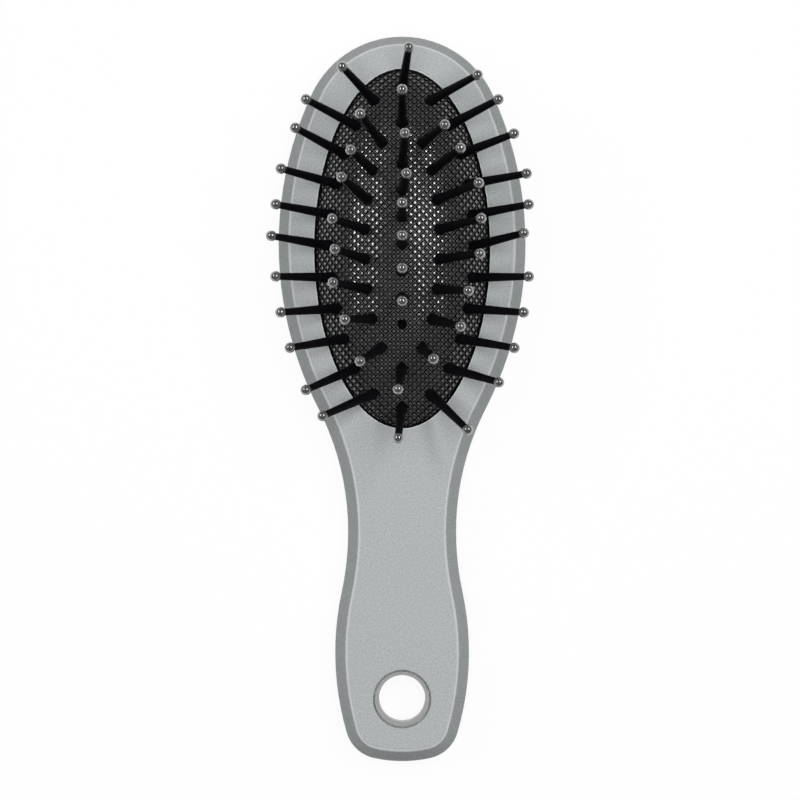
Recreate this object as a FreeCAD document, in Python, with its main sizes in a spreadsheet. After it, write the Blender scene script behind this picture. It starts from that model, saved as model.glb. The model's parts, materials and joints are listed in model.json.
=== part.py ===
import FreeCAD, Part
import math
import os
import Sketcher

# Hair brush with an air-cushioned pad. It lies on its back with the pins up (+Z) and the head
# towards +Y. The origin is below the middle of the brush, on the plane that the back rests on.

# Driving dimensions in millimetres, and in degrees where a name ends in splay
SIZES = {
    # Outline of the body from the head's tip to the handle's end
    "tip_length": 47.5,
    "shoulder_length": 65.7,
    "flare_length": 27.2,
    "end_length": 24.6,
    "head_width": 56.3,
    "head_shoulder": 5.4,
    "shoulder_radius": 82.5,
    "neck_width": 24.5,
    "handle_flare": 2.9,
    "end_radius": 29.5,
    "end_corner_radius": 8.2,
    # Section of the two shells
    "back_depth": 7.4,
    "front_depth": 4.6,
    "face_inset": 2.5,
    "face_edge_radius": 1.2,
    "back_edge_radius": 5.5,
    "seam_bevel": 0.25,
    "face_thickness": 2.0,
    "side_wall": 2.4,
    "floor_thickness": 2.0,
    "lip_height": 1.2,
    "lip_thickness": 1.0,
    "lip_clearance": 0.15,
    # Locating pegs between the shells
    "peg_radius": 1.5,
    "peg_depth": 3.0,
    "peg_boss_wall": 1.6,
    "peg_margin": 4.5,
    "peg_clearance": 0.1,
    # Oval opening of the face, by its distances from the outline and the neck
    "opening_side_margin": 8.2,
    "opening_tip_margin": 8.1,
    "opening_neck_margin": 23.3,
    "opening_bevel_width": 0.45,
    "opening_bevel_depth": 0.13,
    # Rubber pad
    "dome_height": 10.0,
    "dome_drop": 0.4,
    "pad_thickness": 1.6,
    "pad_clearance": 0.25,
    "rim_step": 0.25,
    "flange_width": 2.3,
    "flange_thickness": 1.5,
    "chamber_wall": 2.2,
    "seat_gap": 0.05,
    "vent_radius": 1.1,
    # Field of pins on the dome
    "ring_side_gap": 3.7,
    "ring_end_gap": 4.4,
    "ring_side_step": 7.5,
    "ring_end_step": 8.5,
    "column_gap": 9.5,
    "side_splay": 54.0,
    "end_splay": 24.0,
    # One pin, measured along its axis from the pad's outer surface
    "pin_length": 18.2,
    "ball_radius": 1.2,
    "shaft_tip_radius": 0.77,
    "shaft_root_radius": 1.08,
    "collar_radius": 1.3,
    "collar_height": 2.6,
    "collar_gap": 0.5,
    "stem_radius": 0.95,
    "stem_clearance": 0.1,
    "foot_radius": 1.5,
    "foot_thickness": 0.8,
    "foot_gap": 0.75,
    # Eyelet of the hang hole
    "hang_hole_from_end": 14.2,
    "eyelet_radius": 6.15,
    "eyelet_throat_radius": 5.25,
    "eyelet_lip": 0.15,
    "eyelet_front_flare": 3.0,
    "eyelet_back_flare": 2.0,
    "eyelet_fit": 0.05,
    "eyelet_gap": 0.42,
    "eyelet_gap_depth": 1.4,
    "eyelet_boss_wall": 2.0,
}

# Pins that stand off the regular splay, as the photographed ones do: degrees to the right and to the tip
UPRIGHT = (0, 0)
OWN_LEAN = {
    "pin_outer_01": (5, 0),
    "pin_outer_02": (6, -5),
    "pin_outer_05": (3, -4),
    "pin_outer_07": (-6, 6),
    "pin_outer_12": (1, -13),
    "pin_outer_13": (-3, -4),
    "pin_outer_14": (-11, -4),
    "pin_outer_15": (-1, -7),
    "pin_outer_19": (-3, 5),
    "pin_outer_22": (4, 4),
    "pin_outer_24": (6, -1),
    "pin_inner_02": (0, -8),
    "pin_inner_04": (8, 1),
    "pin_inner_05": (7, 1),
    "pin_inner_06": (6, 1),
    "pin_inner_09": (-8, 2),
    "pin_inner_10": (-3, -2),
    "pin_inner_12": (1, 5),
    "pin_inner_13": (-2, 6),
    "pin_inner_14": (2, 4),
    "pin_inner_16": (4, 4),
    "pin_inner_17": (5, -2),
    "pin_centre_1": (2, 4),
    "pin_centre_2": (3, -2),
}

OUTER_COUNT = 24
INNER_COUNT = 18
COLUMN_COUNT = 6
PEG_COUNT = 3

# Lengths that several pieces share, as expressions of the sheet's cells
LENGTH = "(Sizes.tip_length + Sizes.shoulder_length + Sizes.flare_length + Sizes.end_length)"
TIP_Y = f"({LENGTH} / 2)"
WIDEST_Y = f"({TIP_Y} - Sizes.tip_length)"
NECK_Y = f"({WIDEST_Y} - Sizes.shoulder_length)"
HANDLE_Y = f"({NECK_Y} - Sizes.flare_length)"
END_Y = f"(0 - {TIP_Y})"
HEAD_HALF = "(Sizes.head_width / 2)"
NECK_HALF = "(Sizes.neck_width / 2)"
TIP_RADIUS = f"({HEAD_HALF} - Sizes.head_shoulder)"
HANDLE_RADIUS = "((Sizes.handle_flare^2 + Sizes.flare_length^2) / (4 * Sizes.handle_flare))"

SEAM_Z = "Sizes.back_depth"
FACE_Z = "(Sizes.back_depth + Sizes.front_depth)"
FACE_UNDERSIDE_Z = f"({FACE_Z} - Sizes.face_thickness)"
FRONT_INSET = "(Sizes.side_wall + Sizes.face_inset * (1 - Sizes.face_thickness / Sizes.front_depth))"
LIP_INSET = f"({FRONT_INSET} + Sizes.lip_clearance)"
BACK_INSET = f"({LIP_INSET} + Sizes.lip_thickness)"
LIP_TOP_Z = f"({SEAM_Z} + Sizes.lip_height)"

OPENING_TOP_Y = f"({TIP_Y} - Sizes.opening_tip_margin)"
OPENING_BOTTOM_Y = f"({NECK_Y} + Sizes.opening_neck_margin)"
PAD_Y = f"(({OPENING_TOP_Y} + {OPENING_BOTTOM_Y}) / 2)"
OPENING_HALF_WIDTH = f"({HEAD_HALF} - Sizes.opening_side_margin)"
OPENING_HALF_LENGTH = f"(({OPENING_TOP_Y} - {OPENING_BOTTOM_Y}) / 2)"
DOME_INSET = "(Sizes.pad_clearance + Sizes.rim_step)"
DOME_HALF_WIDTH = f"({OPENING_HALF_WIDTH} - {DOME_INSET})"
DOME_HALF_LENGTH = f"({OPENING_HALF_LENGTH} - {DOME_INSET})"
DOME_RADIUS = f"(({DOME_HALF_WIDTH}^2 + Sizes.dome_height^2) / (2 * Sizes.dome_height))"
DOME_LONG_RADIUS = f"({DOME_RADIUS} * {DOME_HALF_LENGTH} / {DOME_HALF_WIDTH})"
DOME_BASE_Z = f"({FACE_Z} - Sizes.dome_drop)"
DOME_CENTRE_Z = f"({DOME_BASE_Z} + Sizes.dome_height - {DOME_RADIUS})"
FLANGE_TOP_Z = f"({FACE_UNDERSIDE_Z} - Sizes.seat_gap)"
FLANGE_BOTTOM_Z = f"({FLANGE_TOP_Z} - Sizes.flange_thickness)"
CHAMBER_TOP_Z = f"({FLANGE_BOTTOM_Z} - Sizes.seat_gap)"

HANG_Y = f"({END_Y} + Sizes.hang_hole_from_end)"
EYELET_BOSS_RADIUS = "(Sizes.eyelet_radius + Sizes.eyelet_fit + Sizes.eyelet_boss_wall)"
PEG_FIRST_Y = f"({OPENING_BOTTOM_Y} - Sizes.flange_width - Sizes.peg_margin)"
PEG_LAST_Y = f"({HANG_Y} + {EYELET_BOSS_RADIUS} + Sizes.peg_margin)"
PEG_BOSS_RADIUS = "(Sizes.peg_radius + Sizes.peg_clearance + Sizes.peg_boss_wall)"

doc = FreeCAD.newDocument("hair_brush")
sheet = doc.addObject("Spreadsheet::Sheet", "Sizes")
for row, (alias, value) in enumerate(SIZES.items(), start=1):
    sheet.set(f"A{row}", alias)
    sheet.set(f"B{row}", str(value))
    sheet.setAlias(f"B{row}", alias)
doc.recompute()


def measure(expression):
    """The value of an expression of the sheet's cells."""
    return float(sheet.evalExpression(expression.replace("Sizes.", "")))


def plane(body, role):
    return next(f for f in body.Origin.OriginFeatures if f.Role == role)


def attach(feature, body, role, z="0"):
    """Put a sketch or primitive on one of its body's planes, raised by z along the plane's normal."""
    feature.AttachmentSupport = [(plane(body, role), "")]
    feature.MapMode = "FlatFace"
    feature.setExpression("AttachmentOffset.Base.z", z)


def new_body(name):
    body = doc.addObject("PartDesign::Body", name)
    body.Label = name
    return body


def new_sketch(body, name, z="0", role="XY_Plane"):
    sketch = body.newObject("Sketcher::SketchObject", name)
    attach(sketch, body, role, z)
    return sketch


def drive(sketch, name, expression, kind, *where):
    """Add a dimension that follows an expression of the sheet's cells."""
    index = sketch.addConstraint(Sketcher.Constraint(kind, *where, measure(expression)))
    sketch.renameConstraint(index, name)
    sketch.setExpression(f"Constraints.{name}", expression)


def pad(body, name, sketch, length, reverse=False):
    feature = body.newObject("PartDesign::Pad", name)
    feature.Profile = sketch
    feature.setExpression("Length", length)
    feature.Reversed = reverse
    doc.recompute()
    return feature


def pocket(body, name, sketch, length):
    """Cut a sketch's shape downward out of the body, and make sure that it cuts."""
    before = body.Shape.Volume
    feature = body.newObject("PartDesign::Pocket", name)
    feature.Profile = sketch
    feature.setExpression("Length", length)
    doc.recompute()
    if not feature.Shape.Volume < before:
        raise RuntimeError(f"{name} cuts nothing")
    return feature


def slope_sides(body, name, block, base_z, angle):
    """Lean a block's upright sides inwards, hinged on its bottom at base_z."""
    faces = list(enumerate(block.Shape.Faces, start=1))
    feature = body.newObject("PartDesign::Draft", name)
    feature.Base = (block, [f"Face{k}" for k, face in faces if face.BoundBox.ZLength > 1e-4])
    feature.NeutralPlane = (block, [f"Face{k}" for k, face in faces if face.BoundBox.ZMax < base_z + 1e-4])
    feature.setExpression("Angle", angle)
    doc.recompute()
    return feature


def level_edges(shape, z):
    """Names of a shape's edges that lie in the level plane at z."""
    names = []
    for number, edge in enumerate(shape.Edges, start=1):
        box = edge.BoundBox
        if abs(box.ZMin - z) < 1e-4 and abs(box.ZMax - z) < 1e-4:
            names.append(f"Edge{number}")
    return names


def edge_treatment(body, kind, name, base, edges, **sizes):
    """Fillet or chamfer driven by its sizes' expressions; a chamfer with two sizes slopes unevenly."""
    feature = body.newObject(f"PartDesign::{kind}", name)
    feature.Base = (base, edges)
    if "Size2" in sizes:
        feature.ChamferType = "Two distances"
    for size, value in sizes.items():
        feature.setExpression(size, value)
    doc.recompute()
    return feature


def body_arcs(inset):
    """Centre, radius and turn (1 bulging, -1 hollow) of the outline's arcs on the right side.

    They run from the handle's end to the head's tip, moved inwards by inset. Neighbours touch at
    a common tangent, which is level with the middle at the head's widest place, the neck and the
    handle's widest place.
    """
    tip_y, end_y = measure(TIP_Y), measure(END_Y)
    widest_y, neck_y, handle_y = measure(WIDEST_Y), measure(NECK_Y), measure(HANDLE_Y)
    head, neck = measure(HEAD_HALF), measure(NECK_HALF)
    tip, flare = measure(TIP_RADIUS), measure(HANDLE_RADIUS)
    shoulder, end, corner = SIZES["shoulder_radius"], SIZES["end_radius"], SIZES["end_corner_radius"]
    tip_centre = FreeCAD.Vector(0, tip_y - tip)
    end_centre = FreeCAD.Vector(0, end_y + end)
    handle_centre = FreeCAD.Vector(neck + SIZES["handle_flare"] - flare, handle_y)
    rise = tip_centre.y - widest_y
    side = (head**2 + rise**2 - tip**2) / (2 * (head - tip))
    across = head - neck
    hollow = (across**2 + SIZES["shoulder_length"]**2) / (2 * across) - shoulder
    # The corner's centre is as far inside the handle's arc as inside the end's arc
    to_end = end_centre - handle_centre
    near, far = flare - corner, end - corner
    along = (near**2 - far**2 + to_end.Length**2) / (2 * to_end.Length)
    sideways = math.sqrt(near**2 - along**2)
    forward = FreeCAD.Vector(to_end).normalize()
    corner_centre = handle_centre + forward * along + FreeCAD.Vector(forward.y, -forward.x) * sideways
    return [
        (end_centre, end - inset, 1),
        (corner_centre, corner - inset, 1),
        (handle_centre, flare - inset, 1),
        (FreeCAD.Vector(neck + flare, neck_y), flare + inset, -1),
        (FreeCAD.Vector(neck + hollow, neck_y), hollow + inset, -1),
        (FreeCAD.Vector(head - shoulder, widest_y), shoulder - inset, 1),
        (FreeCAD.Vector(head - side, widest_y), side - inset, 1),
        (tip_centre, tip - inset, 1),
    ]


def touch_point(first, second):
    """Where two neighbouring arcs of the outline meet."""
    (centre, radius, turn), (other, other_radius, other_turn) = first, second
    reach = FreeCAD.Vector(other - centre).normalize() * radius
    if turn == other_turn and radius < other_radius:
        reach = reach * -1
    return centre + reach


def outline_sketch(body, name, z, inset="0"):
    """The body's closed outline, moved inwards by inset, as arcs with common tangents."""
    sketch = new_sketch(body, name, z)
    right = body_arcs(measure(inset))
    left = [(FreeCAD.Vector(-c.x, c.y), radius, turn) for c, radius, turn in right[-2:0:-1]]
    arcs = right + left
    ends = [touch_point(arc, arcs[(k + 1) % len(arcs)]) for k, arc in enumerate(arcs)]
    for k, (centre, radius, turn) in enumerate(arcs):
        start, stop = (ends[k - 1], ends[k])[::turn]
        angles = [math.atan2(p.y - centre.y, p.x - centre.x) for p in (start, stop)]
        circle = Part.Circle(centre, FreeCAD.Vector(0, 0, 1), radius)
        sketch.addGeometry(Part.ArcOfCircle(circle, *angles))
    last = len(arcs) - 1
    for k in range(len(arcs)):
        following = (k + 1) % len(arcs)
        leaves = 2 if arcs[k][2] > 0 else 1
        enters = 1 if arcs[following][2] > 0 else 2
        kind = "Coincident" if k == last else "Tangent"
        sketch.addConstraint(Sketcher.Constraint(kind, k, leaves, following, enters))
    end, corner, handle, neck_low, neck_high, shoulder, side, tip = range(len(right))
    for k in range(corner, tip):
        sketch.addConstraint(Sketcher.Constraint("Symmetric", k, 3, len(arcs) - k, 3, -2))
    sketch.addConstraint(Sketcher.Constraint("PointOnObject", end, 3, -2))
    drive(sketch, "tip_y", f"{TIP_Y} - {TIP_RADIUS}", "DistanceY", -1, 1, tip, 3)
    drive(sketch, "tip_r", f"{TIP_RADIUS} - {inset}", "Radius", tip)
    drive(sketch, "side_y", WIDEST_Y, "DistanceY", -1, 1, side, 3)
    drive(sketch, "shoulder_y", WIDEST_Y, "DistanceY", -1, 1, shoulder, 3)
    drive(sketch, "shoulder_x", f"{HEAD_HALF} - Sizes.shoulder_radius", "DistanceX", -1, 1, shoulder, 3)
    drive(sketch, "shoulder_r", f"Sizes.shoulder_radius - {inset}", "Radius", shoulder)
    drive(sketch, "neck_high_y", NECK_Y, "DistanceY", -1, 1, neck_high, 3)
    drive(sketch, "neck_low_y", NECK_Y, "DistanceY", -1, 1, neck_low, 3)
    drive(sketch, "neck_x", f"{NECK_HALF} + {HANDLE_RADIUS}", "DistanceX", -1, 1, neck_low, 3)
    drive(sketch, "neck_low_r", f"{HANDLE_RADIUS} + {inset}", "Radius", neck_low)
    drive(sketch, "handle_y", HANDLE_Y, "DistanceY", -1, 1, handle, 3)
    drive(sketch, "handle_r", f"{HANDLE_RADIUS} - {inset}", "Radius", handle)
    drive(sketch, "corner_r", f"Sizes.end_corner_radius - {inset}", "Radius", corner)
    drive(sketch, "end_y", f"{END_Y} + Sizes.end_radius", "DistanceY", -1, 1, end, 3)
    drive(sketch, "end_r", f"Sizes.end_radius - {inset}", "Radius", end)
    doc.recompute()
    return sketch


def oval_sketch(body, name, z, *insets):
    """Ovals about the pad's centre, each moved inwards from the opening's edge by its inset."""
    sketch = new_sketch(body, name, z)
    for number, inset in enumerate(insets):
        half_width = f"({OPENING_HALF_WIDTH} - {inset})"
        half_length = f"({OPENING_HALF_LENGTH} - {inset})"
        middle = FreeCAD.Vector(0, measure(PAD_Y), 0)
        long_end = middle + FreeCAD.Vector(0, measure(half_length), 0)
        short_end = middle + FreeCAD.Vector(measure(half_width), 0, 0)
        oval = sketch.addGeometry(Part.Ellipse(long_end, short_end, middle))
        sketch.exposeInternalGeometry(oval)
        long_axis, short_axis = oval + 1, oval + 2
        sketch.addConstraint(Sketcher.Constraint("PointOnObject", oval, 3, -2))
        sketch.addConstraint(Sketcher.Constraint("Vertical", long_axis))
        drive(sketch, f"middle_{number}", PAD_Y, "DistanceY", -1, 1, oval, 3)
        drive(sketch, f"length_{number}", f"2 * {half_length}", "Distance", long_axis)
        drive(sketch, f"width_{number}", f"2 * {half_width}", "Distance", short_axis)
    doc.recompute()
    return sketch


def disc_sketch(body, name, z, y, radius):
    sketch = new_sketch(body, name, z)
    centre = FreeCAD.Vector(0, measure(y), 0)
    sketch.addGeometry(Part.Circle(centre, FreeCAD.Vector(0, 0, 1), measure(radius)))
    sketch.addConstraint(Sketcher.Constraint("PointOnObject", 0, 3, -2))
    drive(sketch, "place", y, "DistanceY", -1, 1, 0, 3)
    drive(sketch, "radius", radius, "Radius", 0)
    doc.recompute()
    return sketch


def along_handle(body, name, feature):
    """Repeat a feature at every peg's place along the handle."""
    pattern = body.newObject("PartDesign::LinearPattern", name)
    pattern.Originals = [feature]
    pattern.Direction = (plane(body, "Y_Axis"), [""])
    pattern.Reversed = True
    pattern.setExpression("Length", f"{PEG_FIRST_Y} - {PEG_LAST_Y}")
    pattern.Occurrences = PEG_COUNT
    body.Tip = pattern
    doc.recompute()
    return pattern


def turned_profile(sketch, corners, ball=None):
    """A closed half section beside the vertical axis, for turning about it.

    corners are (radius, height) expressions from the bottom up. With ball, a height, an arc about
    that point of the axis closes the top instead of a straight line.
    """
    points = [FreeCAD.Vector(measure(r), measure(z), 0) for r, z in corners]
    count = len(points)
    for k in range(count - 1):
        sketch.addGeometry(Part.LineSegment(points[k], points[k + 1]))
    for k in range(count - 2):
        sketch.addConstraint(Sketcher.Constraint("Coincident", k, 2, k + 1, 1))
    for k, (radius, height) in enumerate(corners):
        line, end = (k, 1) if k < count - 1 else (k - 1, 2)
        if radius == "0":
            sketch.addConstraint(Sketcher.Constraint("PointOnObject", line, end, -2))
        else:
            drive(sketch, f"radius_{k}", radius, "DistanceX", -1, 1, line, end)
        drive(sketch, f"height_{k}", height, "DistanceY", -1, 1, line, end)
    first = points[0]
    closing = count - 1
    if ball is None:
        sketch.addGeometry(Part.LineSegment(points[-1], first))
        sketch.addConstraint(Sketcher.Constraint("Coincident", closing - 1, 2, closing, 1))
        sketch.addConstraint(Sketcher.Constraint("Coincident", closing, 2, 0, 1))
        doc.recompute()
        return
    centre = FreeCAD.Vector(0, measure(ball), 0)
    reach = points[-1] - centre
    circle = Part.Circle(centre, FreeCAD.Vector(0, 0, 1), reach.Length)
    sketch.addGeometry(Part.ArcOfCircle(circle, math.atan2(reach.y, reach.x), math.pi / 2))
    sketch.addGeometry(Part.LineSegment(centre + FreeCAD.Vector(0, reach.Length, 0), first))
    sketch.addConstraint(Sketcher.Constraint("Coincident", closing - 1, 2, closing, 1))
    sketch.addConstraint(Sketcher.Constraint("PointOnObject", closing, 3, -2))
    drive(sketch, "ball_height", ball, "DistanceY", -1, 1, closing, 3)
    sketch.addConstraint(Sketcher.Constraint("Coincident", closing, 2, closing + 1, 1))
    sketch.addConstraint(Sketcher.Constraint("PointOnObject", closing, 2, -2))
    sketch.addConstraint(Sketcher.Constraint("Coincident", closing + 1, 2, 0, 1))
    doc.recompute()


def make_front_shell():
    """Front half: flat face, sloping sides, the pad's opening and the pegs."""
    body = new_body("front_shell")
    outline = outline_sketch(body, "front_outline", SEAM_Z)
    block = pad(body, "front_block", outline, "Sizes.front_depth")
    slope = "atan(Sizes.face_inset / Sizes.front_depth)"
    sloped = slope_sides(body, "front_slope", block, measure(SEAM_Z), slope)
    rim = level_edges(sloped.Shape, measure(FACE_Z))
    rounded = edge_treatment(body, "Fillet", "face_edge", sloped, rim, Radius="Sizes.face_edge_radius")
    seam = level_edges(rounded.Shape, measure(SEAM_Z))
    edge_treatment(body, "Chamfer", "front_seam", rounded, seam, Size="Sizes.seam_bevel")
    inside = outline_sketch(body, "front_inside_outline", FACE_UNDERSIDE_Z, FRONT_INSET)
    pocket(body, "front_inside", inside, f"{FACE_UNDERSIDE_Z} - {SEAM_Z}")
    hole = oval_sketch(body, "opening_outline", FACE_Z, "0")
    opening = pocket(body, "opening", hole, "2 * Sizes.face_thickness")
    rim = [e for e in level_edges(opening.Shape, measure(FACE_Z)) if is_opening_edge(opening.Shape, e)]
    bevel = {"Size": "Sizes.opening_bevel_width", "Size2": "Sizes.opening_bevel_depth"}
    edge_treatment(body, "Chamfer", "opening_edge", opening, rim, **bevel)
    fit = disc_sketch(body, "eyelet_hole_outline", FACE_Z, HANG_Y, "Sizes.eyelet_radius + Sizes.eyelet_fit")
    pocket(body, "eyelet_hole", fit, "2 * Sizes.face_thickness")
    gap = disc_sketch(body, "eyelet_gap_outline", FACE_Z, HANG_Y, "Sizes.eyelet_radius + Sizes.eyelet_gap")
    pocket(body, "eyelet_gap", gap, "Sizes.eyelet_gap_depth")
    peg = disc_sketch(body, "peg_outline", FACE_UNDERSIDE_Z, PEG_FIRST_Y, "Sizes.peg_radius")
    peg_length = f"{FACE_UNDERSIDE_Z} - {SEAM_Z} + Sizes.peg_depth"
    along_handle(body, "pegs", pad(body, "peg", peg, peg_length, reverse=True))
    return body


def is_opening_edge(shape, name):
    """Whether an edge of the face belongs to the pad's opening."""
    box = shape.getElement(name).BoundBox
    return abs(box.XMax - measure(OPENING_HALF_WIDTH)) < 1e-3


def make_back_shell():
    """Back half: rounded back, locating lip, the chamber's oval wall, peg sockets and eyelet boss."""
    body = new_body("back_shell")
    outline = outline_sketch(body, "back_outline", "0")
    block = pad(body, "back_block", outline, "Sizes.back_depth")
    rim = level_edges(block.Shape, 0)
    rounded = edge_treatment(body, "Fillet", "back_edge", block, rim, Radius="Sizes.back_edge_radius")
    seam = level_edges(rounded.Shape, measure(SEAM_Z))
    edge_treatment(body, "Chamfer", "back_seam", rounded, seam, Size="Sizes.seam_bevel")
    lip = outline_sketch(body, "lip_outline", SEAM_Z, LIP_INSET)
    pad(body, "lip", lip, "Sizes.lip_height")
    inside = outline_sketch(body, "back_inside_outline", LIP_TOP_Z, BACK_INSET)
    pocket(body, "back_inside", inside, f"{LIP_TOP_Z} - Sizes.floor_thickness")
    floor = "Sizes.floor_thickness"
    wall_inset = f"({DOME_INSET} + Sizes.pad_thickness - Sizes.chamber_wall)"
    wall = oval_sketch(body, "chamber_outline", floor, wall_inset, f"({wall_inset} + Sizes.chamber_wall)")
    pad(body, "chamber", wall, f"{CHAMBER_TOP_Z} - {floor}")
    boss = disc_sketch(body, "peg_boss_outline", floor, PEG_FIRST_Y, PEG_BOSS_RADIUS)
    along_handle(body, "peg_bosses", pad(body, "peg_boss", boss, f"{SEAM_Z} - {floor}"))
    bore = "Sizes.peg_radius + Sizes.peg_clearance"
    socket = disc_sketch(body, "peg_socket_outline", SEAM_Z, PEG_FIRST_Y, bore)
    depth = "Sizes.peg_depth + Sizes.peg_clearance"
    along_handle(body, "peg_sockets", pocket(body, "peg_socket", socket, depth))
    boss = disc_sketch(body, "eyelet_boss_outline", floor, HANG_Y, EYELET_BOSS_RADIUS)
    pad(body, "eyelet_boss", boss, f"{FACE_UNDERSIDE_Z} - Sizes.seat_gap - {floor}")
    bore = disc_sketch(body, "eyelet_bore_outline", FACE_Z, HANG_Y, "Sizes.eyelet_radius + Sizes.eyelet_fit")
    pocket(body, "eyelet_bore", bore, f"2 * {FACE_Z}")
    return body


def make_hang_eyelet():
    """Ring through the hang hole, flared at both mouths round a straight throat."""
    body = new_body("hang_eyelet")
    sketch = new_sketch(body, "eyelet_section", role="XZ_Plane")
    throat, outside = "Sizes.eyelet_throat_radius", "Sizes.eyelet_radius"
    mouth = f"({outside} - Sizes.eyelet_lip)"
    corners = [
        (outside, "0"),
        (outside, FACE_Z),
        (mouth, FACE_Z),
        (throat, f"{FACE_Z} - Sizes.eyelet_front_flare"),
        (throat, "Sizes.eyelet_back_flare"),
        (mouth, "0"),
    ]
    turned_profile(sketch, corners)
    ring = body.newObject("PartDesign::Revolution", "eyelet_ring")
    ring.Profile = sketch
    ring.ReferenceAxis = (sketch, ["V_Axis"])
    ring.Angle = 360
    body.setExpression("Placement.Base.y", HANG_Y)
    doc.recompute()
    return body


def dome_section(body):
    """Band between the dome's outside and inside, right of its long axis, at its centre's level."""
    sketch = new_sketch(body, "dome_section", DOME_CENTRE_Z)
    sketch.setExpression("AttachmentOffset.Base.y", PAD_Y)
    arcs = []
    for side, shrink in (("outside", "0"), ("inside", "Sizes.pad_thickness")):
        half_width = f"({DOME_RADIUS} - {shrink})"
        half_length = f"({DOME_LONG_RADIUS} - {shrink})"
        long_end = FreeCAD.Vector(0, measure(half_length), 0)
        short_end = FreeCAD.Vector(-measure(half_width), 0, 0)
        oval = Part.Ellipse(long_end, short_end, FreeCAD.Vector())
        arc = sketch.addGeometry(Part.ArcOfEllipse(oval, math.pi, 2 * math.pi))
        sketch.exposeInternalGeometry(arc)
        long_axis, short_axis = arc + 1, arc + 2
        sketch.addConstraint(Sketcher.Constraint("Coincident", arc, 3, -1, 1))
        sketch.addConstraint(Sketcher.Constraint("Vertical", long_axis))
        drive(sketch, f"length_{side}", f"2 * {half_length}", "Distance", long_axis)
        drive(sketch, f"width_{side}", f"2 * {half_width}", "Distance", short_axis)
        sketch.addConstraint(Sketcher.Constraint("PointOnObject", arc, 1, -2))
        sketch.addConstraint(Sketcher.Constraint("PointOnObject", arc, 2, -2))
        arcs.append(arc)
    outside, inside = arcs
    for end in (1, 2):
        corners = [sketch.getPoint(arc, end) for arc in arcs]
        line = sketch.addGeometry(Part.LineSegment(*corners))
        sketch.addConstraint(Sketcher.Constraint("Coincident", line, 1, outside, end))
        sketch.addConstraint(Sketcher.Constraint("Coincident", line, 2, inside, end))
    doc.recompute()
    return sketch


def make_pad_blank():
    """Rubber pad before its holes: domed skin, rim in the opening and flange below the face."""
    body = new_body("pad_blank")
    dome = body.newObject("PartDesign::Revolution", "dome")
    dome.Profile = dome_section(body)
    dome.ReferenceAxis = (dome.Profile[0], ["V_Axis"])
    dome.Angle = 180
    dome.Reversed = True
    doc.recompute()
    below = body.newObject("PartDesign::SubtractiveBox", "below_dome")
    attach(below, body, "XY_Plane", f"{DOME_BASE_Z} - 2 * {DOME_RADIUS}")
    below.setExpression("AttachmentOffset.Base.x", f"0 - 2 * {DOME_RADIUS}")
    below.setExpression("AttachmentOffset.Base.y", f"{PAD_Y} - 2 * {DOME_LONG_RADIUS}")
    below.setExpression("Length", f"4 * {DOME_RADIUS}")
    below.setExpression("Width", f"4 * {DOME_LONG_RADIUS}")
    below.setExpression("Height", f"2 * {DOME_RADIUS}")
    doc.recompute()
    inner = f"({DOME_INSET} + Sizes.pad_thickness)"
    rim = oval_sketch(body, "rim_outline", FLANGE_TOP_Z, "Sizes.pad_clearance", inner)
    pad(body, "rim", rim, f"{DOME_BASE_Z} - {FLANGE_TOP_Z}")
    outer = f"({DOME_INSET} - Sizes.flange_width)"
    flange = oval_sketch(body, "flange_outline", FLANGE_BOTTOM_Z, outer, inner)
    pad(body, "flange", flange, "Sizes.flange_thickness")
    return body


def on_dome(x, y, own_lean=UPRIGHT):
    """Placement of a pin on the dome at x, y from the pad's centre, with its splay and its own lean."""
    radius, long_radius = measure(DOME_RADIUS), measure(DOME_LONG_RADIUS)
    rise = radius * math.sqrt(1 - (x / radius)**2 - (y / long_radius)**2)
    along = y / measure(DOME_HALF_LENGTH)
    local_half_width = measure(DOME_HALF_WIDTH) * math.sqrt(1 - along**2)
    side_lean = math.radians(SIZES["side_splay"] * x / local_half_width + own_lean[0])
    end_lean = math.radians(SIZES["end_splay"] * along + own_lean[1])
    axis = FreeCAD.Vector(math.tan(side_lean), math.tan(end_lean), 1)
    foot = FreeCAD.Vector(x, measure(PAD_Y) + y, measure(DOME_CENTRE_Z) + rise)
    return FreeCAD.Placement(foot, FreeCAD.Rotation(FreeCAD.Vector(0, 0, 1), axis))


def ring_places(half_width, half_length, count):
    """Points at equal steps round an oval, clockwise from the end at the head's tip."""
    steps = 360 * count
    oval = [2 * math.pi * k / steps for k in range(steps + 1)]
    points = [(half_width * math.sin(a), half_length * math.cos(a)) for a in oval]
    travelled = [0.0]
    for start, stop in zip(points, points[1:]):
        travelled.append(travelled[-1] + math.dist(start, stop))
    places = []
    for number in range(count):
        wanted = travelled[-1] * number / count
        places.append(points[next(k for k, gone in enumerate(travelled) if gone >= wanted)])
    return places


def pin_places():
    """Name and placement of every pin, and the placement of the vent hole."""
    outer_width = measure(DOME_HALF_WIDTH) - SIZES["ring_side_gap"]
    outer_length = measure(DOME_HALF_LENGTH) - SIZES["ring_end_gap"]
    inner_width = outer_width - SIZES["ring_side_step"]
    inner_length = outer_length - SIZES["ring_end_step"]
    column_top = inner_length - SIZES["column_gap"]
    pitch = 2 * column_top / COLUMN_COUNT
    roots = {}
    for number, root in enumerate(ring_places(outer_width, outer_length, OUTER_COUNT), start=1):
        roots[f"pin_outer_{number:02}"] = root
    for number, root in enumerate(ring_places(inner_width, inner_length, INNER_COUNT), start=1):
        roots[f"pin_inner_{number:02}"] = root
    for number in range(COLUMN_COUNT):
        roots[f"pin_centre_{number + 1}"] = (0, column_top - number * pitch)
    places = {name: on_dome(x, y, OWN_LEAN.get(name, UPRIGHT)) for name, (x, y) in roots.items()}
    return places, on_dome(0, -column_top)


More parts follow.
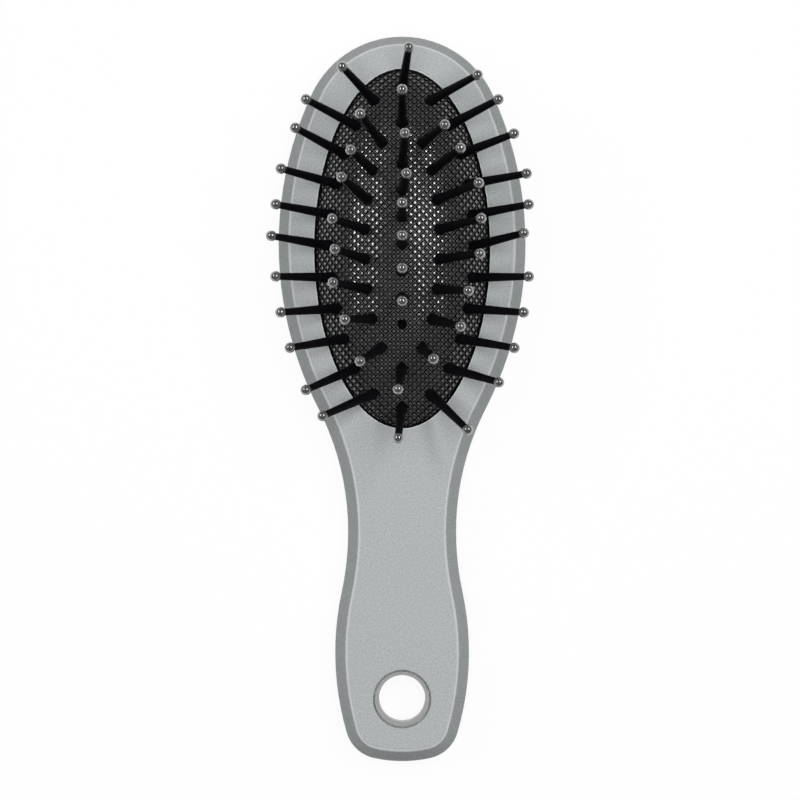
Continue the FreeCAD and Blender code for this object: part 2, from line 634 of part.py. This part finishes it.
def make_pin_section():
    """Half section that every pin is turned from: foot, stem, collar, tapered shaft and ball."""
    sketch = doc.addObject("Sketcher::SketchObject", "pin_section")
    sketch.Placement = FreeCAD.Placement(FreeCAD.Vector(), FreeCAD.Rotation(FreeCAD.Vector(1, 0, 0), 90))
    foot_top = "(0 - Sizes.pad_thickness - Sizes.foot_gap)"
    foot_bottom = f"({foot_top} - Sizes.foot_thickness)"
    below_ball = "(Sizes.pin_length - sqrt(Sizes.ball_radius^2 - Sizes.shaft_tip_radius^2))"
    corners = [
        ("0", foot_bottom),
        ("Sizes.foot_radius", foot_bottom),
        ("Sizes.foot_radius", foot_top),
        ("Sizes.stem_radius", foot_top),
        ("Sizes.stem_radius", "Sizes.collar_gap"),
        ("Sizes.collar_radius", "Sizes.collar_gap"),
        ("Sizes.shaft_root_radius", "Sizes.collar_height"),
        ("Sizes.shaft_tip_radius", below_ball),
    ]
    turned_profile(sketch, corners, ball="Sizes.pin_length")
    return sketch


def make_pin(name, placement, section):
    pin = doc.addObject("Part::Revolution", name)
    pin.Label = name
    pin.Source = section
    pin.Axis = FreeCAD.Vector(0, 0, 1)
    pin.Angle = 360
    pin.Solid = True
    pin.Placement = placement
    return pin


def make_hole(name, placement, radius):
    """Tool that pierces the pad's skin along a pin's axis."""
    hole = doc.addObject("Part::Cylinder", name)
    hole.setExpression("Radius", radius)
    hole.setExpression("Height", "4 * Sizes.pad_thickness")
    inward = FreeCAD.Placement(FreeCAD.Vector(0, 0, -2 * SIZES["pad_thickness"]), FreeCAD.Rotation())
    hole.Placement = placement.multiply(inward)
    return hole


def make_cushion_pad(places, vent):
    holes = doc.addObject("Part::Compound", "pad_holes")
    bore = "Sizes.stem_radius + Sizes.stem_clearance"
    tools = [make_hole(f"hole_{name}", place, bore) for name, place in places.items()]
    tools.append(make_hole("hole_vent", vent, "Sizes.vent_radius"))
    holes.Links = tools
    pad_with_holes = doc.addObject("Part::Cut", "cushion_pad")
    pad_with_holes.Label = "cushion_pad"
    pad_with_holes.Base = make_pad_blank()
    pad_with_holes.Tool = holes
    return pad_with_holes


def write_parts(pieces):
    """Check the whole document, then write each piece to its own file."""
    doc.recompute()
    for item in doc.Objects:
        if "Invalid" in item.State or "Error" in item.State:
            raise RuntimeError(f"{item.Name} failed: {item.State}")
    for piece in pieces:
        if piece.Shape.isNull() or not piece.Shape.isValid() or len(piece.Shape.Solids) != 1:
            raise RuntimeError(f"{piece.Label} is not one valid solid")
    os.makedirs("parts", exist_ok=True)
    for piece in pieces:
        piece.Shape.exportStep(f"parts/{piece.Label}.step")
        print(f"{piece.Label} {piece.Shape.Volume:.1f} mm3")


places, vent = pin_places()
section = make_pin_section()
pieces = [make_front_shell(), make_back_shell(), make_hang_eyelet(), make_cushion_pad(places, vent)]
pieces += [make_pin(name, place, section) for name, place in places.items()]
write_parts(pieces)
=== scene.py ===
import json
import math

import bmesh
import bpy
import numpy as np
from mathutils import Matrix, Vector


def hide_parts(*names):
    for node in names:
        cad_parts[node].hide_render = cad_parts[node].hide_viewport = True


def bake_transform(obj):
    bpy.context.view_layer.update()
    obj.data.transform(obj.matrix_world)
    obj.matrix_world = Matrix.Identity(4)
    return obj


MM = 0.001
SQRT_HALF = math.sqrt(0.5)
TINY = 1e-6

# Pad: the dome's middle, rim and skin, in millimetres as in the CAD part
PAD_Y = 33.5
RIM_HALF_WIDTH = 19.45
RIM_HALF_LENGTH = 40.4
RIM_Z = 11.6
DOME_HEIGHT = 10.0
PAD_THICKNESS = 1.6
UNDERSIDE_SHARES = (1.0, 0.8, 0.6, 0.4, 0.2)

# Pad's rim in the opening and flange under the face, by how far they reach from the dome's foot
RIM_REACH = 0.25
FLANGE_REACH = 2.3
FLANGE_TOP_Z = 9.95
FLANGE_BOTTOM_Z = 8.45

# Waffle on the pad's face: crowned squares between thin grooves
CELL = 1.32
GROOVE_HALF = 0.055
WALL_RUN = 0.31
WAFFLE_DEPTH = 0.26
SQUARE_EDGE = 0.86
WELD_DISTANCE = 0.002

# Waffle's spread over the dome: the share of its half length it is laid out to, and the arc it follows
WAFFLE_REACH = 1.3
ARC_TURN = 0.49 * math.pi
ARC_POINTS = 2001

# The pad's finishes, by their places in its list of materials; the walls carry painted shade, the grooves a
# painted sheen
TOP, WALL, GROOVE = range(3)

# Vent hole between the pins of the middle column
VENT_OFFSET = -18.0
VENT_RADIUS = 1.1
VENT_DEPTH = 1.3

# Ball on every pin, and the share of its radius that still counts as the ball
BALL_RADIUS = 1.2
BALL_SHARE = 1.02

# Rounded edge of the front face, where the paint is made lighter as a painted highlight
EDGE_LOW_Z = 11.5
EDGE_MIDDLE_Z = 11.84
EDGE_HIGH_Z = 11.995
EDGE_HIGHLIGHT_SILVER = (0.68, 0.7, 0.7)

# Camera: where the picture's middle meets the face, how far off, and how far it leans
AIM = (-0.48, -0.98, 12.0)
DISTANCE = 694.0
LEAN_DEG = 2.84
VIEW_HALF_WIDTH = 90.36
SENSOR = 36.0
CLIP_START = 0.01
CLIP_END = 50.0

# Two upright soft boxes beside the brush, and a fill panel near the camera's line: metres and watts
BOX_ANGLES_DEG = {"soft_box_left": -40.0, "soft_box_right": 27.0}
BOX_POWERS = {"soft_box_left": 1.1, "soft_box_right": 1.4}
BOX_HEADWARD_DEG = 13.0
BOX_DISTANCE = 0.7
BOX_WIDTH = 0.11
BOX_LENGTH = 0.43
PANEL_WAY = (0.02, -0.07, 1.0)
PANEL_DISTANCE = 0.76
PANEL_SIZE = 0.4
PANEL_POWER = 3.5

# Floor: the colour it throws back, the colour it is seen with, and the share of that no shadow dims
FLOOR_BOUNCE = (0.2, 0.2, 0.2)
FLOOR_WHITE = (1.0, 1.0, 1.0)
FLOOR_GLOW_SHARE = 0.92
FLOOR_REACH = 12.0

# Room: how bright its walls are seen, its own dim light, and the rise of the view where the walls end
WALL_GLOW = 0.94
ROOM_GLOW = 0.03
WALL_FADE_START = 0.1
WALL_FADE_END = 0.2

# The part of a noise's range that most of it lies in
NOISE_LOW = 0.3
NOISE_HIGH = 0.7


def set_shader(shader, **values):
    """Sets the shader's plain values, named as its sockets with _ for a space."""
    for name, value in values.items():
        shader.inputs[name.replace("_", " ")].default_value = value


class Paint:
    """A material whose colour, roughness and bump come from noise in the object's own frame."""

    def __init__(self, name):
        self.material = bpy.data.materials.new(name)
        self.material.use_nodes = True
        self.nodes = self.material.node_tree.nodes
        self.links = self.material.node_tree.links
        self.shader = self.nodes["Principled BSDF"]
        self.place = self.nodes.new("ShaderNodeTexCoord").outputs["Object"]
        self.bumped = None

    def noise(self, size_mm, detail=2.0):
        """Noise whose grains are about size_mm across."""
        node = self.nodes.new("ShaderNodeTexNoise")
        node.inputs["Scale"].default_value = 1.0 / (size_mm * MM)
        node.inputs["Detail"].default_value = detail
        self.links.new(self.place, node.inputs["Vector"])
        return node.outputs["Fac"]

    def spread(self, value, low, high):
        """The middle of a noise's range, spread over low to high."""
        node = self.nodes.new("ShaderNodeMapRange")
        node.inputs["From Min"].default_value = NOISE_LOW
        node.inputs["From Max"].default_value = NOISE_HIGH
        node.inputs["To Min"].default_value = low
        node.inputs["To Max"].default_value = high
        self.links.new(value, node.inputs["Value"])
        return node.outputs["Result"]

    def height(self, from_mm, to_mm):
        """How far up the place is, from 0 at one height to 1 at the other."""
        split = self.nodes.new("ShaderNodeSeparateXYZ")
        self.links.new(self.place, split.inputs["Vector"])
        node = self.nodes.new("ShaderNodeMapRange")
        node.interpolation_type = "SMOOTHSTEP"
        node.inputs["From Min"].default_value = from_mm * MM
        node.inputs["From Max"].default_value = to_mm * MM
        self.links.new(split.outputs["Z"], node.inputs["Value"])
        return node.outputs["Result"]

    def mix(self, value, first, second):
        """First at 0 and second at 1; each is a colour or a node's output."""
        node = self.nodes.new("ShaderNodeMix")
        node.data_type = "RGBA"
        self.links.new(value, node.inputs["Factor"])
        for name, colour in (("A", first), ("B", second)):
            socket = next(s for s in node.inputs if s.identifier == name + "_Color")
            if isinstance(colour, tuple):
                socket.default_value = (*colour, 1.0)
            else:
                self.links.new(colour, socket)
        return next(s for s in node.outputs if s.identifier == "Result_Color")

    def colour(self, value, dark, light):
        """Base colour between two colours, by a noise."""
        both = self.mix(self.spread(value, 0.0, 1.0), dark, light)
        self.links.new(both, self.shader.inputs["Base Color"])
        return both

    def roughness(self, value, low, high):
        """Roughness between two levels, by a noise."""
        self.links.new(self.spread(value, low, high), self.shader.inputs["Roughness"])

    def bump(self, value, depth_mm, strength):
        """Adds a bump of that depth over those added before."""
        node = self.nodes.new("ShaderNodeBump")
        node.inputs["Distance"].default_value = depth_mm * MM
        node.inputs["Strength"].default_value = strength
        self.links.new(value, node.inputs["Height"])
        if self.bumped:
            self.links.new(self.bumped, node.inputs["Normal"])
        self.bumped = node.outputs["Normal"]
        self.links.new(self.bumped, self.shader.inputs["Normal"])


def silver_paint():
    """Satin silver paint on moulded plastic, with fine metal flake and a painted highlight on the face's
    edge.
    """
    paint = Paint("silver_paint")
    flake = paint.noise(size_mm=0.3, detail=1.0)
    plain = paint.colour(flake, dark=(0.36, 0.38, 0.385), light=(0.53, 0.555, 0.56))
    # Painted highlight: the colour rises to a lighter silver up the face's rounded edge, then falls back to
    # plain at its top
    edge = paint.mix(paint.height(EDGE_LOW_Z, EDGE_MIDDLE_Z), plain, EDGE_HIGHLIGHT_SILVER)
    painted_edge_highlight = paint.mix(paint.height(EDGE_MIDDLE_Z, EDGE_HIGH_Z), edge, plain)
    paint.links.new(painted_edge_highlight, paint.shader.inputs["Base Color"])
    paint.roughness(paint.noise(size_mm=6.0), low=0.3, high=0.38)
    paint.bump(flake, depth_mm=0.01, strength=0.1)
    set_shader(paint.shader, Specular_IOR_Level=0.1)
    return paint.material


def eyelet_metal():
    """Bright satin aluminium."""
    paint = Paint("eyelet_metal")
    grain = paint.noise(size_mm=0.25, detail=3.0)
    paint.colour(grain, dark=(0.36, 0.365, 0.36), light=(0.46, 0.465, 0.46))
    paint.roughness(paint.noise(size_mm=3.0), low=0.25, high=0.34)
    paint.bump(grain, depth_mm=0.005, strength=0.1)
    set_shader(paint.shader, Metallic=0.3, Specular_IOR_Level=0.3)
    return paint.material


def pad_rubber():
    """Black moulded rubber with a polish on its raised squares."""
    paint = Paint("pad_rubber")
    cloud = paint.noise(size_mm=8.0, detail=3.0)
    paint.colour(cloud, dark=(0.08, 0.08, 0.082), light=(0.11, 0.11, 0.113))
    paint.roughness(paint.noise(size_mm=2.5, detail=3.0), low=0.16, high=0.2)
    paint.bump(paint.noise(size_mm=1.2, detail=2.0), depth_mm=0.01, strength=0.1)
    set_shader(paint.shader, Specular_IOR_Level=1.0, Coat_Weight=1.0, Coat_Roughness=0.17, Coat_IOR=2.3)
    return paint.material


def pad_shaded_rubber():
    """The same rubber, matt and near black: painted shade on the walls between the squares, at the rim and
    in the vent.
    """
    paint = Paint("pad_shaded_rubber")
    cloud = paint.noise(size_mm=8.0, detail=3.0)
    # Painted shade: far darker than the same rubber on the squares
    paint.colour(cloud, dark=(0.002, 0.002, 0.003), light=(0.004, 0.004, 0.005))
    paint.roughness(paint.noise(size_mm=2.5, detail=3.0), low=0.7, high=0.85)
    paint.bump(paint.noise(size_mm=0.2, detail=2.0), depth_mm=0.01, strength=0.2)
    set_shader(paint.shader, Specular_IOR_Level=0.04)
    return paint.material


def pad_groove_sheen_rubber():
    """The same rubber in the grooves, rougher, with a lighter grey colour as a painted sheen."""
    paint = Paint("pad_groove_sheen_rubber")
    cloud = paint.noise(size_mm=8.0, detail=3.0)
    # Painted sheen: lighter than the same rubber on the squares, for grey lines of light in the grooves
    paint.colour(cloud, dark=(0.1, 0.1, 0.102), light=(0.13, 0.13, 0.133))
    paint.roughness(paint.noise(size_mm=2.5, detail=3.0), low=0.4, high=0.5)
    paint.bump(paint.noise(size_mm=0.2, detail=2.0), depth_mm=0.01, strength=0.1)
    set_shader(paint.shader, Specular_IOR_Level=0.5)
    return paint.material


def shaft_nylon():
    """Dull black nylon of the pins' shafts."""
    paint = Paint("shaft_nylon")
    cloud = paint.noise(size_mm=1.5, detail=2.0)
    paint.colour(cloud, dark=(0.002, 0.002, 0.003), light=(0.004, 0.004, 0.0055))
    paint.roughness(cloud, low=0.55, high=0.7)
    paint.bump(paint.noise(size_mm=0.15, detail=2.0), depth_mm=0.006, strength=0.2)
    set_shader(paint.shader, Specular_IOR_Level=0.1)
    return paint.material


def ball_lacquer():
    """Glossy grey lacquer of the pins' balls."""
    paint = Paint("ball_lacquer")
    cloud = paint.noise(size_mm=0.6, detail=2.0)
    paint.colour(cloud, dark=(0.07, 0.07, 0.072), light=(0.11, 0.11, 0.112))
    paint.roughness(cloud, low=0.08, high=0.14)
    paint.bump(paint.noise(size_mm=0.8, detail=2.0), depth_mm=0.006, strength=0.05)
    set_shader(paint.shader, Specular_IOR_Level=1.0, Coat_Weight=1.0, Coat_Roughness=0.04, Coat_IOR=2.4)
    return paint.material


def dome_radii():
    """The dome's radius across, its half axis along, and its middle's height."""
    radius = (RIM_HALF_WIDTH**2 + DOME_HEIGHT**2) / (2 * DOME_HEIGHT)
    half_axis = radius * RIM_HALF_LENGTH / RIM_HALF_WIDTH
    return radius, half_axis, RIM_Z + DOME_HEIGHT - radius


def along_from_arc(arc):
    """Distance along the pad from its middle, by the length of the arc over the dome."""
    radius, half_axis, _ = dome_radii()
    turn = np.linspace(0.0, ARC_TURN, ARC_POINTS)
    along = half_axis * np.sin(turn)
    up = radius * np.cos(turn)
    steps = np.hypot(np.diff(along), np.diff(up))
    arcs = np.concatenate([[0.0], np.cumsum(steps)])
    return np.sign(arc) * np.interp(np.abs(arc), arcs, along)


def waffle_lines(reach):
    """Line places across the waffle, and how high the pattern stands at each, from 0 to 1."""
    cells = math.ceil(reach / CELL)
    places = []
    heights = []
    for cell in range(-cells, cells):
        for share, height in (
            (GROOVE_HALF, 0.0),
            (GROOVE_HALF + WALL_RUN, SQUARE_EDGE),
            (CELL / 2, 1.0),
            (CELL - GROOVE_HALF - WALL_RUN, SQUARE_EDGE),
            (CELL - GROOVE_HALF, 0.0),
        ):
            places.append(cell * CELL + share)
            heights.append(height)
    return np.array(places), np.array(heights)


def fit_to_rim(x, y):
    """Draws places past the rim in to it and pushes those over the vent hole out to its edge; marks both."""
    out = np.hypot(x / RIM_HALF_WIDTH, y / RIM_HALF_LENGTH)
    beyond = out >= 1.0
    x = np.where(beyond, x / out, x)
    y = np.where(beyond, y / out, y)
    from_vent = np.maximum(np.hypot(x, y - VENT_OFFSET), TINY)
    in_vent = from_vent <= VENT_RADIUS
    push = VENT_RADIUS / from_vent
    x = np.where(in_vent, x * push, x)
    y = np.where(in_vent, VENT_OFFSET + (y - VENT_OFFSET) * push, y)
    return x, y, beyond | in_vent


def pad_grid():
    """Grid of the waffle's points over the dome, the pattern's height at each, and which are cut off."""
    radius, half_axis, middle_z = dome_radii()
    lines, heights = waffle_lines(WAFFLE_REACH * RIM_HALF_LENGTH)
    first, second = np.meshgrid(lines, lines, indexing="ij")
    height = np.minimum(*np.meshgrid(heights, heights, indexing="ij"))
    across_arc = (first + second) * SQRT_HALF
    along_arc = (first - second) * SQRT_HALF
    quarter = ARC_TURN * radius
    x = radius * np.sin(np.clip(across_arc, -quarter, quarter) / radius)
    x, y, cut_off = fit_to_rim(x, along_from_arc(along_arc))

    up = radius * np.sqrt(1.0 - (x / radius) ** 2 - (y / half_axis) ** 2)
    normal = np.stack([x / radius**2, y / half_axis**2, up / radius**2], axis=-1)
    normal /= np.linalg.norm(normal, axis=-1, keepdims=True)
    points = np.stack([x, y + PAD_Y, up + middle_z], axis=-1)
    points -= normal * (WAFFLE_DEPTH * (1.0 - height))[..., None]
    return points, height, cut_off


def finish_and_shade_at(levels):
    """A face of the waffle's finish, with painted shade on walls and painted sheen in grooves, by the
    pattern's height at its corners.
    """
    if min(levels) > 0.0:
        return TOP
    return WALL if max(levels) > 0.0 else GROOVE


def pad_surface():
    """Points and faces of the pad's waffled top, cut to its rim and vent hole, and each one's finish,
    painted shade and sheen included.
    """
    points, height, cut_off = pad_grid()
    count = len(points)
    faces = []
    finishes_and_shades = []
    for i in range(count - 1):
        for j in range(count - 1):
            corners = ((i, j), (i + 1, j), (i + 1, j + 1), (i, j + 1))
            if all(cut_off[c] for c in corners):
                continue
            ring = [a * count + b for a, b in reversed(corners)]
            rises = height[i, j] != height[i + 1, j + 1]
            if rises and height[i + 1, j] == height[i, j + 1]:
                faces.append((ring[0], ring[1], ring[3]))
                faces.append((ring[1], ring[2], ring[3]))
            else:
                faces.append((ring[0], ring[1], ring[2]))
                faces.append((ring[0], ring[2], ring[3]))
            finish_and_shade = finish_and_shade_at([height[c] for c in corners])
            finishes_and_shades += [finish_and_shade, finish_and_shade]
    return points.reshape(-1, 3) * MM, faces, finishes_and_shades


def open_edges(work):
    """Edges with a face on one side only."""
    return [edge for edge in work.edges if edge.is_boundary]


def grow(work, edges, place, *details):
    """Grows a band of faces from open edges, each new corner where place puts it by those details."""
    made = bmesh.ops.extrude_edge_only(work, edges=edges)["geom"]
    for vert in (item for item in made if isinstance(item, bmesh.types.BMVert)):
        vert.co = place(vert.co, *details)


def under_dome(x, y):
    """Height of the pad's hollow underside over a place measured from its middle."""
    radius, half_axis, middle_z = dome_radii()
    across = radius - PAD_THICKNESS
    along = half_axis - PAD_THICKNESS
    return middle_z + across * math.sqrt(1.0 - (x / across) ** 2 - (y / along) ** 2)


def on_oval(corner, reach, share=1.0):
    """Where a corner of the pad's edge lies on an oval that far from the dome's foot, or a share of it."""
    across = corner.x / MM / RIM_HALF_WIDTH
    along = (corner.y / MM - PAD_Y) / RIM_HALF_LENGTH
    size = math.hypot(across, along) / share
    return across / size * (RIM_HALF_WIDTH + reach), along / size * (RIM_HALF_LENGTH + reach)


def into_vent(corner, depth):
    """Straight down from a corner of the vent hole's edge."""
    return corner - Vector((0.0, 0.0, depth * MM))


def on_edge(corner, reach, z):
    """That far out from the dome's foot at a corner of the pad's edge, and at that height."""
    x, y = on_oval(corner, reach)
    return Vector((x, y + PAD_Y, z)) * MM


def underneath(corner, share):
    """On the hollow underside, in from a corner of the pad's edge to a share of its reach."""
    x, y = on_oval(corner, -PAD_THICKNESS, share)
    return Vector((x, y + PAD_Y, under_dome(x, y))) * MM


def close_pad(work):
    """Closes the waffled top with a vent hole, the rim, the flange and the hollow underside."""
    vent = Vector((0.0, PAD_Y + VENT_OFFSET)) * MM
    near = 2 * VENT_RADIUS * MM
    vent_edges = [edge for edge in open_edges(work) if (edge.verts[0].co.xy - vent).length < near]
    rim_edges = set(open_edges(work)) - set(vent_edges)
    grow(work, vent_edges, into_vent, VENT_DEPTH)
    bmesh.ops.holes_fill(work, edges=[edge for edge in open_edges(work) if edge not in rim_edges])

    for reach, z in (
        (RIM_REACH, RIM_Z),
        (RIM_REACH, FLANGE_TOP_Z),
        (FLANGE_REACH, FLANGE_TOP_Z),
        (FLANGE_REACH, FLANGE_BOTTOM_Z),
        (-PAD_THICKNESS, FLANGE_BOTTOM_Z),
    ):
        grow(work, open_edges(work), on_edge, reach, z)
    for share in UNDERSIDE_SHARES:
        grow(work, open_edges(work), underneath, share)
    bmesh.ops.holes_fill(work, edges=open_edges(work))


def make_pad(materials):
    """The pad as one closed crowned piece: waffled top, vent hole, rim, flange and hollow underside."""
    points, faces, finishes_and_shades = pad_surface()
    used = sorted({corner for face in faces for corner in face})
    renamed = {old: new for new, old in enumerate(used)}
    mesh = bpy.data.meshes.new("cushion_pad_waffle")
    mesh.from_pydata([tuple(points[old]) for old in used], [], [[renamed[c] for c in f] for f in faces])
    for face, finish_and_shade in zip(mesh.polygons, finishes_and_shades):
        face.material_index = finish_and_shade
    work = bmesh.new()
    work.from_mesh(mesh)
    bmesh.ops.remove_doubles(work, verts=work.verts, dist=WELD_DISTANCE * MM)
    waffled = set(work.faces)
    close_pad(work)
    # Painted shade: the rim, vent hole, flange and underside all take the near-black rubber of the walls
    for face in work.faces:
        if face not in waffled:
            face.material_index = WALL
    bmesh.ops.recalc_face_normals(work, faces=work.faces)
    work.to_mesh(mesh)
    work.free()
    for finish_and_shade in (TOP, WALL, GROOVE):
        mesh.materials.append(materials[finish_and_shade])
    pad = bpy.data.objects.new("cushion_pad_waffle", mesh)
    bpy.context.scene.collection.objects.link(pad)
    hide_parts("cushion_pad")
    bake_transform(pad)


def set_material(node, *materials):
    """Gives a CAD node these materials in place of its own."""
    node.data.materials.clear()
    for material in materials:
        node.data.materials.append(material)


def dress_pins(frame, shaft, ball):
    """Gives every pin its shaft's finish, and its ball the lacquer."""
    for joint in frame["joints"]:
        if not joint["name"].startswith("tilt_"):
            continue
        pin = frame["nodes"][joint["child"]]
        set_material(pin, shaft, ball)
        root = np.array(joint["pos_m"])
        points = np.array([vert.co for vert in pin.data.vertices])
        reach = np.linalg.norm(points - root, axis=1)
        tip = points[reach.argmax()]
        middle = tip - (tip - root) / reach.max() * BALL_RADIUS * MM
        for face in pin.data.polygons:
            from_middle = np.linalg.norm(np.array(face.center) - middle)
            face.material_index = int(from_middle < BALL_SHARE * BALL_RADIUS * MM)


def add_seen(nodes, links):
    """One for rays from the camera, a mirror or a glass, and nought for the light thrown on the brush."""
    path = nodes.new("ShaderNodeLightPath")
    seen = path.outputs["Is Camera Ray"]
    for ray in ("Is Glossy Ray", "Is Transmission Ray"):
        either = nodes.new("ShaderNodeMath")
        either.operation = "MAXIMUM"
        links.new(seen, either.inputs[0])
        links.new(path.outputs[ray], either.inputs[1])
        seen = either.outputs["Value"]
    return seen


def make_floor():
    """White floor that stays white in the picture and keeps a soft shadow."""
    paint = bpy.data.materials.new("white_floor")
    paint.use_nodes = True
    nodes = paint.node_tree.nodes
    links = paint.node_tree.links
    nodes.clear()
    output = nodes.new("ShaderNodeOutputMaterial")
    bounce = nodes.new("ShaderNodeBsdfDiffuse")
    bounce.inputs["Color"].default_value = (*FLOOR_BOUNCE, 1.0)
    white = nodes.new("ShaderNodeBsdfDiffuse")
    white.inputs["Color"].default_value = (*FLOOR_WHITE, 1.0)
    glow = nodes.new("ShaderNodeEmission")
    pale = nodes.new("ShaderNodeMixShader")
    pale.inputs["Fac"].default_value = FLOOR_GLOW_SHARE
    links.new(white.outputs["BSDF"], pale.inputs[1])
    links.new(glow.outputs["Emission"], pale.inputs[2])
    mix = nodes.new("ShaderNodeMixShader")
    links.new(add_seen(nodes, links), mix.inputs["Fac"])
    links.new(bounce.outputs["BSDF"], mix.inputs[1])
    links.new(pale.outputs["Shader"], mix.inputs[2])
    links.new(mix.outputs["Shader"], output.inputs["Surface"])

    mesh = bpy.data.meshes.new("floor")
    corners = [(x * FLOOR_REACH, y * FLOOR_REACH, 0.0) for x, y in ((-1, -1), (1, -1), (1, 1), (-1, 1))]
    mesh.from_pydata(corners, [], [(0, 1, 2, 3)])
    mesh.materials.append(paint)
    floor = bpy.data.objects.new("floor", mesh)
    bpy.context.scene.collection.objects.link(floor)


def make_world():
    """Pale walls behind the brush up to a little above eye level, and a dim room that gives little light."""
    world = bpy.data.worlds.new("studio")
    world.use_nodes = True
    bpy.context.scene.world = world
    nodes = world.node_tree.nodes
    links = world.node_tree.links
    way = nodes.new("ShaderNodeTexCoord")
    split = nodes.new("ShaderNodeSeparateXYZ")
    links.new(way.outputs["Generated"], split.inputs["Vector"])
    wall = nodes.new("ShaderNodeMapRange")
    wall.interpolation_type = "SMOOTHSTEP"
    wall.inputs["From Min"].default_value = WALL_FADE_START
    wall.inputs["From Max"].default_value = WALL_FADE_END
    wall.inputs["To Min"].default_value = WALL_GLOW
    wall.inputs["To Max"].default_value = ROOM_GLOW
    links.new(split.outputs["Z"], wall.inputs["Value"])
    level = nodes.new("ShaderNodeMapRange")
    level.inputs["To Min"].default_value = ROOM_GLOW
    links.new(add_seen(nodes, links), level.inputs["Value"])
    links.new(wall.outputs["Result"], level.inputs["To Max"])
    links.new(level.outputs["Result"], nodes["Background"].inputs["Strength"])
    nodes["Background"].inputs["Color"].default_value = (1.0, 1.0, 1.0, 1.0)


def add_lamp(name, width, length, power, way, distance):
    """Rectangular lamp that faces the pad from that way off, its length along the brush."""
    data = bpy.data.lights.new(name, "AREA")
    data.shape = "RECTANGLE"
    data.size = length
    data.size_y = width
    data.energy = power
    lamp = bpy.data.objects.new(name, data)
    lamp.location = Vector((0.0, PAD_Y * MM, 0.0)) + distance * way
    lamp.rotation_euler = way.to_track_quat("Z", "Y").to_euler()
    bpy.context.scene.collection.objects.link(lamp)
    return lamp


def make_lamps():
    """A soft box on each side, a little towards the head, and a fill panel that throws no highlight."""
    headward = math.sin(math.radians(BOX_HEADWARD_DEG))
    for name, angle in BOX_ANGLES_DEG.items():
        aside = math.radians(angle)
        way = Vector((math.sin(aside), headward, math.cos(aside))).normalized()
        add_lamp(name, BOX_WIDTH, BOX_LENGTH, BOX_POWERS[name], way, BOX_DISTANCE)
    way = Vector(PANEL_WAY).normalized()
    panel = add_lamp("panel", PANEL_SIZE, PANEL_SIZE, PANEL_POWER, way, PANEL_DISTANCE)
    panel.visible_glossy = False


def make_camera():
    """Camera over the brush's face, leaning a little towards its head."""
    lean = math.radians(LEAN_DEG)
    data = bpy.data.cameras.new("camera")
    data.sensor_width = SENSOR
    data.lens = SENSOR / 2 * DISTANCE / VIEW_HALF_WIDTH
    data.clip_start = CLIP_START
    data.clip_end = CLIP_END
    camera = bpy.data.objects.new("camera", data)
    back = (0.0, -math.sin(lean), math.cos(lean))
    camera.location = [(aim + DISTANCE * part) * MM for aim, part in zip(AIM, back)]
    camera.rotation_euler = (lean, 0.0, 0.0)
    bpy.context.scene.collection.objects.link(camera)
    bpy.context.scene.camera = camera


with open("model.json") as file:
    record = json.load(file)
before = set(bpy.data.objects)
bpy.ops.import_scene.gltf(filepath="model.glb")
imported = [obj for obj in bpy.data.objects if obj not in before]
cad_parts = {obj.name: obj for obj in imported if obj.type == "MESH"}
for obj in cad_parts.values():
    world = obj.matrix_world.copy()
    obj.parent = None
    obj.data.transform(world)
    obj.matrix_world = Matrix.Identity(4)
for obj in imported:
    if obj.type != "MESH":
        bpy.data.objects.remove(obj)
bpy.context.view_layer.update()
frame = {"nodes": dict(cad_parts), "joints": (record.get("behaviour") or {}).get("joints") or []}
silver = silver_paint()
set_material(frame["nodes"]["front_shell"], silver)
set_material(frame["nodes"]["back_shell"], silver)
set_material(frame["nodes"]["hang_eyelet"], eyelet_metal())
make_pad({TOP: pad_rubber(), WALL: pad_shaded_rubber(), GROOVE: pad_groove_sheen_rubber()})
dress_pins(frame, shaft_nylon(), ball_lacquer())
make_floor()
make_world()
make_lamps()
make_camera()
bpy.context.scene.view_settings.view_transform = "Standard"
